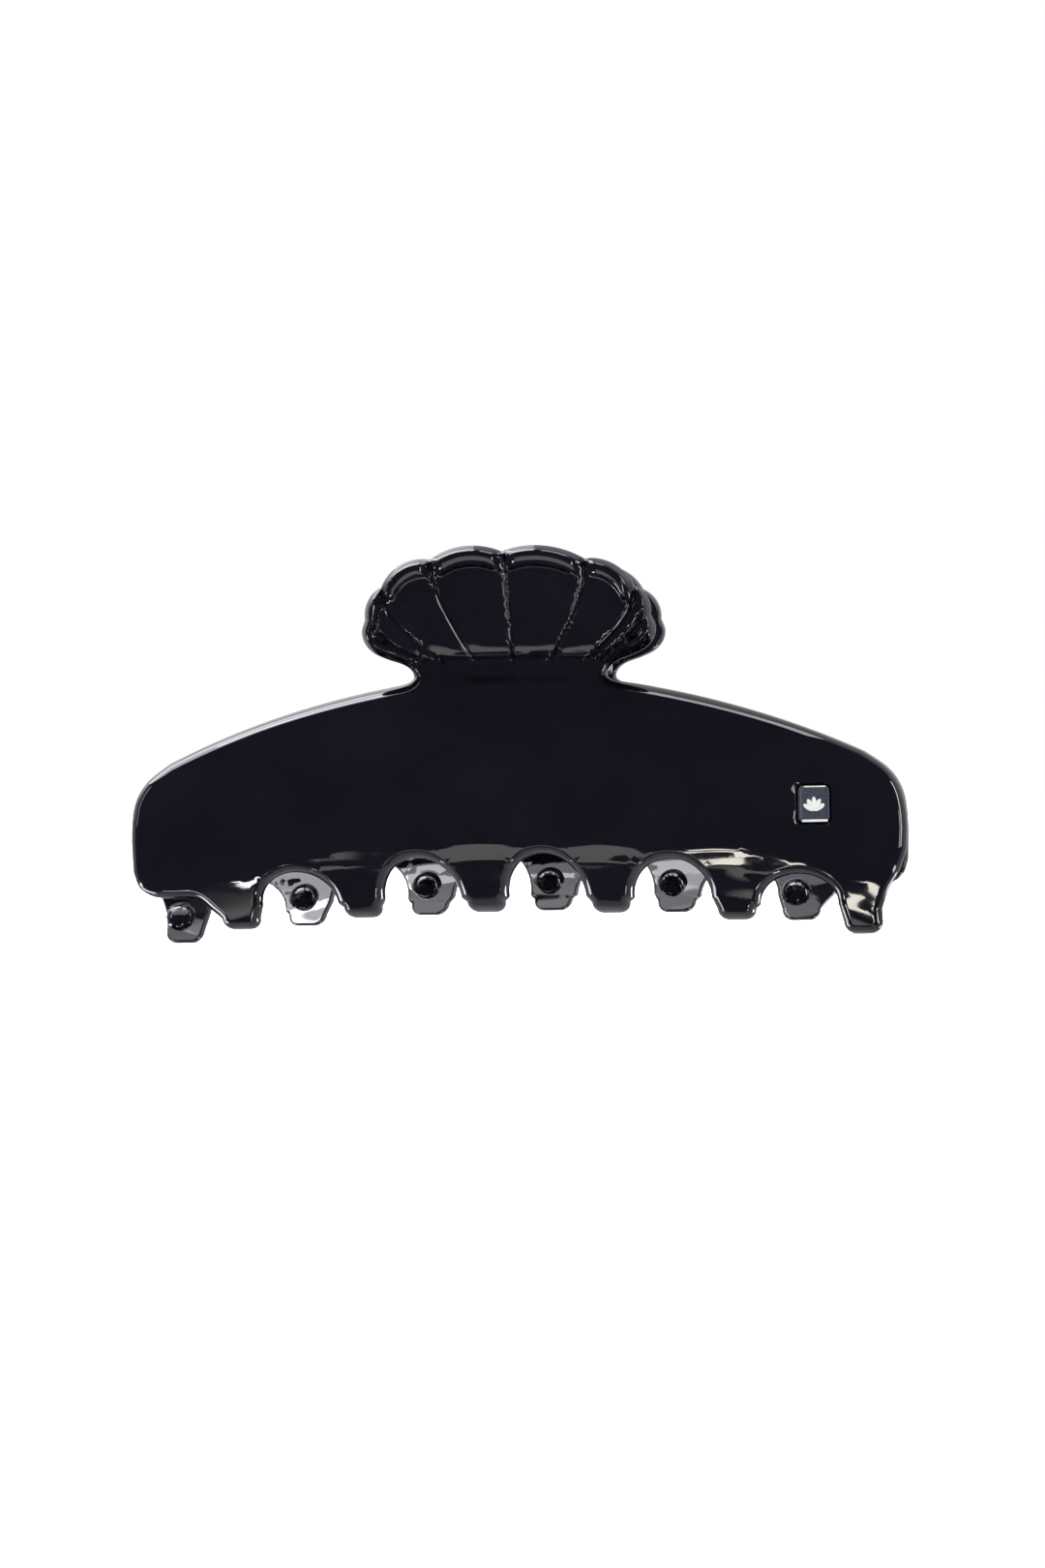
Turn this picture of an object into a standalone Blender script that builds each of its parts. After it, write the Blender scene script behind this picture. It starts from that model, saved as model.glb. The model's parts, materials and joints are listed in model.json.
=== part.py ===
"""Claw hair clip: two identical curved jaws on a steel pin, held shut by a torsion spring.

Frame: X runs along the jaws, +Z from the claws up to the finger tabs, and +Y from the front jaw
to the rear one. The origin is on the vertical axis of symmetry, level with the lowest claw tips.
The rear jaw is the front jaw turned half a turn about that axis, so that the claws interleave.
"""

import math

import bmesh
import bpy
from mathutils import Matrix, Vector

MM = 0.001

# Driving dimensions, in metres.
HALF_LENGTH = 54.5 * MM  # from the axis of symmetry to either end of a jaw
TOTAL_HEIGHT = 54.4 * MM  # from the lowest claw tip to the top of the finger tab
WALL = 3.0 * MM  # thickness of the moulded plate
HINGE_Z = 38.5 * MM  # height of the pin
PITCH = 17.5 * MM  # from one claw to the next
CLAWS = 6
CLAW_OFFSET = PITCH / 4  # puts each jaw's claws in the other jaw's gaps
TIP_HALF_WIDTH = 2.75 * MM
TIP_CORNER = 1.6 * MM
TIP_RISE = 3.3 * MM  # how much higher the middle claws end than the +X one
TIP_TILT = 0.0085  # extra rise of the tips towards -X, in metres per metre
ARCH_Z = 12.1 * MM  # top of the gap at the middle of the jaw
ARCH_DROP = 2.3  # fall of the gaps' tops, in metres per square metre
ARCH_HALF_WIDTH = 5.35 * MM
ARCH_FOOT = 2.1 * MM  # height of the arches' ends above the higher tip beside them
BOWL = 66.0 * MM  # distance along X at which the jaw's outward bow would reach zero

# Side profile of the middle of a jaw: height, and distance from the mid-plane to the mid-wall.
PROFILE = (
    (0.0, -3.1),
    (3.3, 1.45),
    (5.2, 4.05),
    (6.6, 5.75),
    (8.4, 7.7),
    (9.8, 9.25),
    (10.9, 10.45),
    (12.3, 11.55),
    (13.5, 12.35),
    (14.9, 12.95),
    (18.0, 13.5),
    (22.5, 13.7),
    (26.5, 13.0),
    (30.5, 11.2),
    (34.0, 9.0),
    (36.5, 7.5),
    (38.3, 6.9),
    (39.4, 7.35),
    (41.5, 8.55),
    (44.0, 9.95),
    (47.0, 11.6),
    (51.0, 13.8),
    (56.0, 16.5),
)

# Ends of the finger tab's lobes, in mm: how far from the middle and how high, from the neck up.
RIGHT_CUSPS = ((19.9, 44.8), (18.0, 48.5), (11.3, 52.4), (0.0, 53.6))
LEFT_CUSPS = ((19.9, 44.8), (17.2, 49.2), (10.0, 52.75), (0.0, 53.6))
LOBE_BULGES = (0.8, 1.3, 1.25)  # how far each lobe rises over the line between its ends, in mm

NUB_RADIUS = 2.15 * MM
NUB_HEIGHT = 3.1 * MM  # centre of a nub above its claw's tip
NUB_ASIDE = 0.7 * MM  # and towards +X
NUB_SINK = 0.5 * MM  # how far the nub's centre lies inside the wall

LUG_THICKNESS = 2.8 * MM
LUG_RADIUS = 3.7 * MM
LUG_X = (-7.0 * MM, 11.0 * MM)  # the front jaw's lugs, which pass beside the rear jaw's
PIN_RADIUS = 1.1 * MM
PIN_CLEARANCE = 0.15 * MM
PIN_HALF_LENGTH = 13.6 * MM
PIN_HEAD_RADIUS = 1.9 * MM
PIN_HEAD = 0.7 * MM

WIRE_RADIUS = 0.55 * MM
COIL_RADIUS = 2.55 * MM
COIL_TURNS = 6  # whole turns
COIL_PITCH = 1.3 * MM
COIL_STEPS = 14  # points in each turn
LEG_BEND_Z = 42.3 * MM  # where the spring's legs meet the tabs
LEG_TOP_Z = 46.5 * MM
LEG_STEPS = 3
GAP = 0.3 * MM  # left between pieces that touch

BADGE_X = 41.5 * MM
BADGE_Z = 18.2 * MM
BADGE_WIDTH = 4.4 * MM
BADGE_HEIGHT = 5.1 * MM
BADGE_CORNER = 0.8 * MM
BADGE_THICKNESS = 0.6 * MM
POCKET_CLEARANCE = 0.12 * MM  # round the plaque's edge

BLACK = ((0.006, 0.006, 0.009, 1.0), 0.08, 0.0)
STEEL = ((0.55, 0.55, 0.57, 1.0), 0.28, 1.0)
SLATE = ((0.10, 0.12, 0.16, 1.0), 0.25, 0.6)


# ---------------------------------------------------------------- outline and surface


def tip_height(x):
    """Height of the claw tips, which end along an arc."""
    last = CLAW_OFFSET + PITCH * (CLAWS - 1) / 2
    return TIP_RISE * (1 - (x / last) ** 2) + TIP_TILT * (last - x)


def arch_height(x):
    return ARCH_Z - ARCH_DROP * x * x


def smooth_value(points, at):
    """Cubic through the points (position, value), in the points' own units."""
    count = len(points)
    index = next((i for i in range(count - 2) if at < points[i + 1][0]), count - 2)
    before, low, high, after = (
        points[max(0, min(count - 1, index + k))] for k in (-1, 0, 1, 2)
    )
    span = high[0] - low[0]
    rise_low = (high[1] - before[1]) / (high[0] - before[0])
    rise_high = (after[1] - low[1]) / (after[0] - low[0])
    t = (at - low[0]) / span
    return (
        (1 + 2 * t) * (1 - t) ** 2 * low[1]
        + t * (1 - t) ** 2 * span * rise_low
        + t * t * (3 - 2 * t) * high[1]
        + t * t * (t - 1) * span * rise_high
    )


def wall_depth(x, z):
    """Distance from the mid-plane to the middle of the jaw's wall."""
    level = z + TIP_RISE - tip_height(x)
    return smooth_value(PROFILE, level / MM) * MM * (1 - (x / BOWL) ** 2)


def on_wall(x, z):
    """The point in the middle of the front jaw's wall, and the direction out of its front."""
    step = 0.1 * MM
    across = (wall_depth(x + step, z) - wall_depth(x - step, z)) / (2 * step)
    upward = (wall_depth(x, z + step) - wall_depth(x, z - step)) / (2 * step)
    return Vector((x, -wall_depth(x, z), z)), Vector((-across, -1, -upward)).normalized()


def arc(start, end, bulge, steps):
    """Points from start towards end, short of end, on the arc that rises to the left by bulge."""
    start, end = Vector(start), Vector(end)
    chord = end - start
    radius = (chord.length_squared / 4 + bulge * bulge) / (2 * bulge)
    normal = Vector((-chord.y, chord.x)).normalized()
    centre = (start + end) / 2 + normal * (bulge - radius)
    half = math.asin(chord.length / 2 / radius)
    return [
        centre + Matrix.Rotation(-2 * half * i / steps, 2) @ (start - centre)
        for i in range(steps)
    ]


def smooth_line(points, steps):
    """Points on the smooth line through the given ones, ends included."""
    ends = [points[0]] + list(points) + [points[-1]]
    line = []
    for before, low, high, after in zip(ends, ends[1:], ends[2:], ends[3:]):
        before, low, high, after = (Vector(p) for p in (before, low, high, after))
        for i in range(steps):
            t = i / steps
            bend = 2 * before - 5 * low + 4 * high - after
            twist = 3 * low - before - 3 * high + after
            line.append(low + 0.5 * ((high - before) * t + bend * t * t + twist * t ** 3))
    return line + [Vector(points[-1])]


def in_mm(*pairs):
    return [(x * MM, z * MM) for x, z in pairs]


def end_corner():
    """The round upper corner at the +X end, from the widest point to the shoulder."""
    return smooth_line(
        in_mm((54.5, 14.5), (54.3, 17.6), (53.5, 20.6), (51.7, 23.1), (48.5, 25.4)), 3
    )


def shoulder_and_tab(cusps):
    """Half of the top edge, drawn at +X, from the shoulder to the middle of the tab."""
    points = arc((48.5 * MM, 25.4 * MM), (15.6 * MM, 35.6 * MM), -1.2 * MM, 7)
    points += smooth_line(
        in_mm((15.6, 35.6), (14.2, 36.0), (13.5, 36.7), (13.9, 37.75), (15.1, 38.6),
              (17.2, 39.35), (19.1, 40.3), (20.2, 41.6), (20.5, 43.2), (19.9, 44.8)), 2
    )[:-1]
    cusps = in_mm(*cusps)
    for start, end, bulge in zip(cusps, cusps[1:], LOBE_BULGES):
        points += arc(start, end, -bulge * MM, 6)
    return points + [Vector(cusps[-1])]


def claw_tip(x):
    """The rounded lower end of the claw at x, from left to right."""
    steps = 3
    bottom = tip_height(x)
    points = []
    for side, turn in ((-1, math.pi), (1, 1.5 * math.pi)):
        centre = Vector((x + side * (TIP_HALF_WIDTH - TIP_CORNER), bottom + TIP_CORNER))
        for i in range(steps + 1):
            angle = turn + math.pi / 2 * i / steps
            points.append(centre + TIP_CORNER * Vector((math.cos(angle), math.sin(angle))))
    return points


def gap_between_claws(x):
    """The arch over the gap at x, from left to right."""
    steps = 10
    foot = ARCH_FOOT + max(tip_height(x - PITCH / 2), tip_height(x + PITCH / 2))
    rise = arch_height(x) - foot
    points = []
    for i in range(steps + 1):
        angle = math.pi * (1 - i / steps)
        across = ARCH_HALF_WIDTH * math.cos(angle)
        points.append(Vector((x + across, foot + rise * math.sin(angle))))
    return points


def jaw_outline():
    """The front jaw's outline seen from the front, anticlockwise from the -X end's lower corner."""
    centres = [CLAW_OFFSET + PITCH * (i - (CLAWS - 1) / 2) for i in range(CLAWS)]
    points = smooth_line(
        in_mm((-54.4, 10.2), (-53.6, 8.0), (-51.6, 6.7), (-48.7, 6.4), (-45.6, 6.3), (-44.2, 5.5)),
        2,
    )
    for i, x in enumerate(centres):
        points += claw_tip(x)
        if i < CLAWS - 1:
            points += gap_between_claws(x + PITCH / 2)
    points += smooth_line(in_mm((50.8, 3.4), (51.8, 6.2), (53.3, 8.8), (54.3, 11.6)), 2)
    corner = end_corner()[:-1]
    left_half = corner + shoulder_and_tab(LEFT_CUSPS)[:-1]
    points += corner + shoulder_and_tab(RIGHT_CUSPS)
    points += [Vector((-p.x, p.y)) for p in reversed(left_half)]
    return points


# ---------------------------------------------------------------- building helpers


def clear_scene():
    for obj in list(bpy.data.objects):
        bpy.data.objects.remove(obj, do_unlink=True)


def new_collection(name):
    collection = bpy.data.collections.new(name)
    bpy.context.scene.collection.children.link(collection)
    return collection


def make_material(name, look):
    """A Principled material from (colour, roughness, metallic)."""
    colour, roughness, metallic = look
    material = bpy.data.materials.new(name)
    material.use_nodes = True
    shader = material.node_tree.nodes["Principled BSDF"]
    shader.inputs["Base Color"].default_value = colour
    shader.inputs["Roughness"].default_value = roughness
    shader.inputs["Metallic"].default_value = metallic
    material.diffuse_color = colour
    return material


def add_object(name, data, collection, material=None):
    obj = bpy.data.objects.new(name, data)
    collection.objects.link(obj)
    if material:
        obj.data.materials.append(material)
    return obj


def add_helper(name, data):
    """A cutter or a shape to be joined, left out of the finished clip."""
    obj = add_object(name, data, helpers)
    obj.hide_render = True
    obj.display_type = "WIRE"
    return obj


def poly_curve(name, points, cyclic):
    curve = bpy.data.curves.new(name, "CURVE")
    spline = curve.splines.new("POLY")
    spline.points.add(len(points) - 1)
    for slot, point in zip(spline.points, points):
        slot.co = (*point, 1.0)
    spline.use_cyclic_u = cyclic
    return curve


def prism(name, outline, thickness, matrix):
    """A helper mesh: the outline in the matrix's XY plane, thickened both ways along its Z."""
    curve = poly_curve(name, [(p[0], p[1], 0.0) for p in outline], cyclic=True)
    curve.dimensions = "2D"
    curve.fill_mode = "BOTH"
    curve.extrude = thickness / 2
    flat = bpy.data.objects.new(name, curve)
    helpers.objects.link(flat)
    bpy.context.view_layer.update()
    evaluated = flat.evaluated_get(bpy.context.evaluated_depsgraph_get())
    mesh = bpy.data.meshes.new_from_object(evaluated)
    bpy.data.objects.remove(flat, do_unlink=True)
    work = bmesh.new()
    work.from_mesh(mesh)
    bmesh.ops.remove_doubles(work, verts=work.verts, dist=0.001 * MM)
    bmesh.ops.transform(work, matrix=matrix, verts=work.verts)
    bmesh.ops.recalc_face_normals(work, faces=work.faces)
    work.to_mesh(mesh)
    work.free()
    return add_helper(name, mesh)


def cylinder(name, radius, length, matrix, segments):
    """A helper mesh: a cylinder along the matrix's Z."""
    work = bmesh.new()
    bmesh.ops.create_cone(
        work, cap_ends=True, segments=segments, radius1=radius, radius2=radius,
        depth=length, matrix=matrix,
    )
    mesh = bpy.data.meshes.new(name)
    work.to_mesh(mesh)
    work.free()
    return add_helper(name, mesh)


def add_boolean(obj, operation, other):
    modifier = obj.modifiers.new(other.name, "BOOLEAN")
    modifier.operation = operation
    modifier.solver = "EXACT"
    modifier.object = other


def finished_mesh(obj, name):
    """The object's mesh with its modifiers applied, measured from the hinge."""
    bpy.context.view_layer.update()
    evaluated = obj.evaluated_get(bpy.context.evaluated_depsgraph_get())
    mesh = bpy.data.meshes.new_from_object(evaluated)
    mesh.name = name
    mesh.transform(Matrix.Translation((0, 0, -HINGE_Z)))
    return mesh


def shade(mesh, degrees):
    mesh.shade_smooth()
    mesh.set_sharp_from_angle(angle=math.radians(degrees))


# Turns a drawing in X and Y into one in X and Z, seen from the front.
UPRIGHT = Matrix.Rotation(math.pi / 2, 4, "X")
# Turns a shape along Z into one along X.
ALONG_X = Matrix.Rotation(math.pi / 2, 4, "Y")


# ---------------------------------------------------------------- sub-parts


def wall_sheet():
    """The jaw's wall before it is trimmed: a curved sheet with thickness."""
    margin = 2.5 * MM
    columns, rows = 34, 26
    work = bmesh.new()
    bmesh.ops.create_grid(work, x_segments=columns, y_segments=rows, size=0.5)
    for vert in work.verts:
        x = vert.co.x * 2 * (HALF_LENGTH + margin)
        z = (vert.co.y + 0.5) * (TOTAL_HEIGHT + 2 * margin) - margin
        vert.co = on_wall(x, z)[0]
    bmesh.ops.recalc_face_normals(work, faces=work.faces)
    mesh = bpy.data.meshes.new("jaw_wall")
    work.to_mesh(mesh)
    work.free()
    sheet = add_helper("jaw_wall", mesh)
    solidify = sheet.modifiers.new("wall", "SOLIDIFY")
    solidify.thickness = WALL
    solidify.offset = 0.0
    solidify.use_even_offset = True
    return sheet


def lug(x):
    """A hinge lug at x: a round eye on the pin with a web that runs into the wall."""
    reach = 4.6 * MM
    eye_steps = 9
    wall_steps = 6
    outline = []
    for i in range(eye_steps + 1):
        angle = math.pi * (0.5 - i / eye_steps)
        outline.append((LUG_RADIUS * math.cos(angle), HINGE_Z + LUG_RADIUS * math.sin(angle)))
    for i in range(wall_steps + 1):
        z = HINGE_Z - reach + 2 * reach * i / wall_steps
        outline.append((-wall_depth(x, z), z))
    seen_from_side = Matrix(((0, 0, 1, x), (1, 0, 0, 0), (0, 1, 0, 0), (0, 0, 0, 1)))
    return prism(f"lug_{round(x / MM)}", outline, LUG_THICKNESS, seen_from_side)


def nub(index, x):
    """The grip nub on the inner face of the claw at x."""
    point, outward = on_wall(x + NUB_ASIDE, tip_height(x) + NUB_HEIGHT)
    centre = point - outward * (WALL / 2 - NUB_SINK)
    work = bmesh.new()
    bmesh.ops.create_uvsphere(work, u_segments=12, v_segments=8, radius=NUB_RADIUS)
    bmesh.ops.translate(work, vec=centre, verts=work.verts)
    mesh = bpy.data.meshes.new(f"nub_{index}")
    work.to_mesh(mesh)
    work.free()
    return add_helper(mesh.name, mesh)


def rounded_rectangle(width, height, corner):
    steps = 3
    points = []
    for quarter in range(4):
        across = 1 if quarter in (0, 3) else -1
        up = 1 if quarter < 2 else -1
        for i in range(steps + 1):
            angle = math.pi / 2 * (quarter + i / steps)
            points.append((
                across * (width / 2 - corner) + corner * math.cos(angle),
                up * (height / 2 - corner) + corner * math.sin(angle),
            ))
    return points


def badge_frame():
    """The badge's place: X across it, Y up it and Z out of the wall's front face."""
    point, outward = on_wall(BADGE_X, BADGE_Z)
    across = Vector((0, 0, 1)).cross(outward).normalized()
    up = outward.cross(across)
    frame = Matrix((across, up, outward)).transposed().to_4x4()
    frame.translation = point + outward * WALL / 2
    return frame


def make_jaw_mesh():
    jaw = wall_sheet()
    right_through = 2 * HALF_LENGTH
    outline = prism("jaw_outline", jaw_outline(), right_through, UPRIGHT)
    add_boolean(jaw, "INTERSECT", outline)
    for x in LUG_X:
        add_boolean(jaw, "UNION", lug(x))
    for i in range(CLAWS):
        add_boolean(jaw, "UNION", nub(i, CLAW_OFFSET + PITCH * (i - (CLAWS - 1) / 2)))
    along_pin = Matrix.Translation((0, 0, HINGE_Z)) @ ALONG_X
    bore = cylinder("pin_bore", PIN_RADIUS + PIN_CLEARANCE, 3 * PIN_HALF_LENGTH, along_pin, 20)
    add_boolean(jaw, "DIFFERENCE", bore)
    pocket_outline = rounded_rectangle(
        BADGE_WIDTH + 2 * POCKET_CLEARANCE, BADGE_HEIGHT + 2 * POCKET_CLEARANCE, BADGE_CORNER
    )
    depth = BADGE_THICKNESS + GAP
    pocket = prism("badge_pocket", pocket_outline, 2 * depth, badge_frame())
    add_boolean(jaw, "DIFFERENCE", pocket)
    mesh = finished_mesh(jaw, "jaw")
    shade(mesh, 35)
    return mesh


def make_badge_mesh():
    outline = rounded_rectangle(BADGE_WIDTH, BADGE_HEIGHT, BADGE_CORNER)
    sunk = Matrix.Translation((0, 0, -BADGE_THICKNESS / 2))
    plate = prism("badge_plate", outline, BADGE_THICKNESS, badge_frame() @ sunk)
    return finished_mesh(plate, "badge")


def make_pin(collection, material):
    """The pin, turned from its half section: a shank with a head at each end."""
    section = (
        (0.0, PIN_HALF_LENGTH),
        (PIN_HEAD_RADIUS * 0.6, PIN_HALF_LENGTH),
        (PIN_HEAD_RADIUS, PIN_HALF_LENGTH - PIN_HEAD * 0.5),
        (PIN_HEAD_RADIUS, PIN_HALF_LENGTH - PIN_HEAD),
        (PIN_RADIUS, PIN_HALF_LENGTH - PIN_HEAD),
    )
    section += tuple((radius, -z) for radius, z in reversed(section))
    mesh = bpy.data.meshes.new("hinge_pin")
    edges = [(i, i + 1) for i in range(len(section) - 1)]
    mesh.from_pydata([(radius, 0, z) for radius, z in section], edges, [])
    pin = add_object("hinge_pin", mesh, collection, material)
    pin.location = (0, 0, HINGE_Z)
    pin.rotation_euler = (0, math.pi / 2, 0)
    screw = pin.modifiers.new("turn", "SCREW")
    screw.steps = screw.render_steps = 20
    screw.use_merge_vertices = True
    screw.merge_threshold = 0.0001 * MM
    return pin


def leg_along_tab(x):
    """The rear leg's upper points, lying along the inner face of the tab, from the hinge."""
    points = []
    for i in range(LEG_STEPS + 1):
        z = LEG_BEND_Z + (LEG_TOP_Z - LEG_BEND_Z) * i / LEG_STEPS
        point, outward = on_wall(x, z)
        inside = point - outward * (WALL / 2 + WIRE_RADIUS + GAP)
        points.append(Vector((x, -inside.y, inside.z - HINGE_Z)))
    return points


def spring_path():
    """The wire's middle line from the hinge: the front leg, the coil and the rear leg."""
    half_length = (COIL_TURNS + 0.3) / 2 * COIL_PITCH
    rear_leg = leg_along_tab(half_length)
    front_leg = [Vector((-p.x, -p.y, p.z)) for p in reversed(rear_leg)]
    bend = rear_leg[0]
    leaves = math.atan2(bend.z, bend.y) - math.acos(COIL_RADIUS / math.hypot(bend.y, bend.z))
    first = math.pi - leaves
    last = leaves + 2 * math.pi * (COIL_TURNS + 1)
    steps = round((last - first) / (2 * math.pi) * COIL_STEPS)
    coil = []
    for i in range(steps + 1):
        angle = first + (last - first) * i / steps
        x = half_length * (2 * i / steps - 1)
        coil.append(Vector((x, COIL_RADIUS * math.cos(angle), COIL_RADIUS * math.sin(angle))))
    return front_leg + coil + rear_leg


def make_spring(collection, material):
    curve = poly_curve("torsion_spring", spring_path(), cyclic=False)
    curve.dimensions = "3D"
    curve.bevel_depth = WIRE_RADIUS
    curve.bevel_resolution = 2
    curve.use_fill_caps = True
    spring = add_object("torsion_spring", curve, collection, material)
    spring.location = (0, 0, HINGE_Z)
    return spring


# ---------------------------------------------------------------- assembly

clear_scene()
clip = new_collection("claw_clip")
helpers = new_collection("construction")

jaw_mesh = make_jaw_mesh()
badge_mesh = make_badge_mesh()
jaw_mesh.materials.append(make_material("black_plastic", BLACK))
badge_mesh.materials.append(make_material("slate_plaque", SLATE))

for half, turn in (("front", 0.0), ("rear", math.pi)):
    pivot = add_object(f"{half}_half", None, clip)
    pivot.location = (0, 0, HINGE_Z)
    pivot.rotation_euler = (0, 0, turn)
    add_object(f"{half}_claw", jaw_mesh, clip).parent = pivot
    add_object(f"{half}_badge", badge_mesh, clip).parent = pivot

make_pin(clip, make_material("pin_steel", STEEL))
make_spring(clip, make_material("spring_steel", STEEL))
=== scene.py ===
"""The claw clip's looks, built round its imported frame.

Two moulded jaws of glossy black plastic, each with a plaque let into it, turn on a steel pin
against a torsion spring. Lengths are in metres. The front jaw is drawn in X (along it) and Z (up),
and its wall curves out of that plane towards -Y; the rear jaw is the same moulding turned round.
"""

import json
import math

import bmesh
import bpy
import numpy as np
from mathutils import Matrix, Vector
from mathutils.geometry import delaunay_2d_cdt


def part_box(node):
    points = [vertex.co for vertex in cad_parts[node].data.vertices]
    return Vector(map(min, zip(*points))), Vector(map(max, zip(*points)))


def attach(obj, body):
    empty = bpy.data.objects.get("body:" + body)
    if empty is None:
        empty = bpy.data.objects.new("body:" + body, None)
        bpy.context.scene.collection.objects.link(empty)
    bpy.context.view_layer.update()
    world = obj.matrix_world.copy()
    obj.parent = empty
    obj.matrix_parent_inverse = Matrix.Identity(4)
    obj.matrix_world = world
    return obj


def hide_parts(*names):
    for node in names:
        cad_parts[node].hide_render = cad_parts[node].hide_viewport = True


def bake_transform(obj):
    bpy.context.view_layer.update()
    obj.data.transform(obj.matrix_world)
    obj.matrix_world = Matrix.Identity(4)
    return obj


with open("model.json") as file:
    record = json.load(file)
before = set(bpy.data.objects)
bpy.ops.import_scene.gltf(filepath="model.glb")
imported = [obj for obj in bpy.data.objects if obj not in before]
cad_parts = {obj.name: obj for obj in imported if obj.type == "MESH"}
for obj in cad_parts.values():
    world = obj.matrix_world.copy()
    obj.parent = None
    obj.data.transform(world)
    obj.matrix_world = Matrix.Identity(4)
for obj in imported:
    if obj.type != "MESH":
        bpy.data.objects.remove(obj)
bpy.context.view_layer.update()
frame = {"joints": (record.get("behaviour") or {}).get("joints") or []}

MM = 0.001
HINGE_Z = frame["joints"][0]["pos_m"][2]
HALF_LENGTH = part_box("front_claw")[1].x

# The jaw's outline and side profile.
WALL = 3.0 * MM
PITCH = 17.5 * MM
CLAWS = 6
CLAW_OFFSET = PITCH / 4
CLAW_CENTRES = [CLAW_OFFSET + PITCH * (i - (CLAWS - 1) / 2) for i in range(CLAWS)]
TIP_HALF_WIDTH = 2.75 * MM
TIP_CORNER = 1.6 * MM
TIP_RISE = 3.3 * MM  # how far the tips in the middle stand above those at the ends
TIP_TILT = 0.0085  # the tips' slope up towards -X
ARCH_Z = 12.1 * MM
ARCH_DROP = 2.3  # how fast the arches between the claws sink towards the ends, per metre
ARCH_HALF_WIDTH = 5.35 * MM
ARCH_FOOT = 2.1 * MM  # an arch's feet above the higher tip beside it
SHOULDER_BULGE = 1.2 * MM
BOWL = 66.0 * MM  # how far from the middle the bowed wall would meet the mid-plane
WAVE = 0.3 * MM  # how far the bend above the claws rises over the claws and dips over the gaps
WAVE_LEVEL = 12.4 * MM
WAVE_SPREAD = 3.0 * MM
PROFILE = np.array((  # levels up the jaw, and the wall's distance from the mid-plane there
    (0.0, -3.1),
    (3.3, 1.45),
    (5.2, 4.05),
    (6.6, 5.75),
    (8.4, 7.7),
    (9.8, 9.25),
    (10.9, 10.45),
    (12.3, 11.55),
    (13.5, 12.35),
    (14.9, 12.95),
    (18.0, 13.5),
    (22.5, 13.7),
    (26.5, 13.0),
    (30.5, 11.2),
    (34.0, 9.0),
    (36.5, 7.5),
    (38.3, 6.9),
    (39.4, 7.35),
    (41.5, 8.55),
    (44.0, 9.95),
    (47.0, 11.6),
    (51.0, 13.8),
    (56.0, 16.5),
)) * MM
EDGE_ROUND = 1.25 * MM  # how far in from its edge the wall's front is rounded
BACK_EDGE_ROUND = 0.5 * MM
EDGE_POWER = 1.6  # 2 would round the edge to a quarter ellipse

# Relief on the finger tab's front: a rim of puffed lobes round fluted petals. The cusps, the
# bulges of the lobes between them and the lines of the grooves are in millimetres.
RIGHT_CUSPS = ((19.9, 44.8), (18.0, 48.5), (11.3, 52.4), (0.0, 53.6))
LEFT_CUSPS = ((19.9, 44.8), (17.2, 49.2), (10.0, 52.75), (0.0, 53.6))
LOBE_BULGES = (0.8, 1.3, 1.25)
GROOVES = (
    ((-11.7, 38.9), (-13.6, 40.0), (-15.9, 41.2), (-17.9, 43.2)),
    ((-8.9, 38.5), (-13.1, 42.0), (-16.2, 45.4), (-17.1, 49.1)),
    ((-4.6, 38.6), (-6.4, 41.7), (-7.6, 44.2), (-9.1, 47.7), (-10.0, 52.75)),
    ((0.6, 38.3), (0.6, 44.0), (0.3, 53.6)),
    ((5.5, 38.0), (6.2, 39.1), (9.1, 44.2), (11.0, 49.0), (11.4, 52.4)),
    ((10.2, 37.8), (13.2, 40.8), (15.8, 43.4), (17.6, 46.2), (18.0, 48.5)),
    ((12.4, 38.4), (15.6, 41.0), (18.6, 43.8)),
)
GROOVE_DEPTH = 0.3 * MM
GROOVE_HALF_WIDTH = 0.3 * MM
GROOVES_START = (37.8 * MM, 39.0 * MM)  # heights over which the grooves get their full depth
RELIEF_START = (38.0 * MM, 40.7 * MM)  # heights over which the rest of the relief does
RELIEF_HALF_WIDTH = 24.0 * MM
FLUTE_RISE = 0.08 * MM
FLUTE_ROUND = 1.3 * MM
PETAL_RISE = 0.12 * MM  # how far the petals stand above the neck
PETAL_LIFT = 0.08 * MM  # how far the petals rise towards the rim
PETAL_LIFT_WIDTH = 1.6 * MM
RIM_WIDTH = (1.9 * MM, 2.75 * MM)  # beside the neck and at the top
RIM_WIDENS = (41.0 * MM, 51.0 * MM)
RIM_RISE = 0.65 * MM
TAB_THINNING = 0.3 * MM  # how much thinner the tab gets towards its top
TAB_THINS = (41.0 * MM, 54.0 * MM)
BEAD_BEVEL = 1.05 * MM  # how far in from its edge the rim's bead is highest
BEAD_SLOPE = 1.35  # above 1, how full the bead's outer side is
LOBE_END = 0.9 * MM  # how far from a groove the rim dips towards it

NUB_RADIUS = 2.15 * MM
NUB_HEIGHT = 3.1 * MM
NUB_ASIDE = 0.7 * MM
NUB_SINK = 0.5 * MM

LUG_THICKNESS = 2.8 * MM
LUG_RADIUS = 3.7 * MM
LUG_REACH = 4.6 * MM  # half the height over which a lug's web meets the wall
LUG_BEVEL = 0.3 * MM
LUG_X = (-7.0 * MM, 11.0 * MM)
PIN_RADIUS = 1.1 * MM
PIN_CLEARANCE = 0.15 * MM
PIN_HEAD = 0.7 * MM  # how thick the pin's heads are

WIRE_RADIUS = 0.55 * MM
COIL_RADIUS = 2.55 * MM
COIL_TURNS = 6
COIL_PITCH = 1.3 * MM
COIL_HALF_LENGTH = (COIL_TURNS + 0.3) / 2 * COIL_PITCH
LEG_BEND_Z = 42.3 * MM
LEG_TOP_Z = 46.5 * MM
LEG_GAP = 0.3 * MM  # between a leg and the wall it bears on

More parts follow.
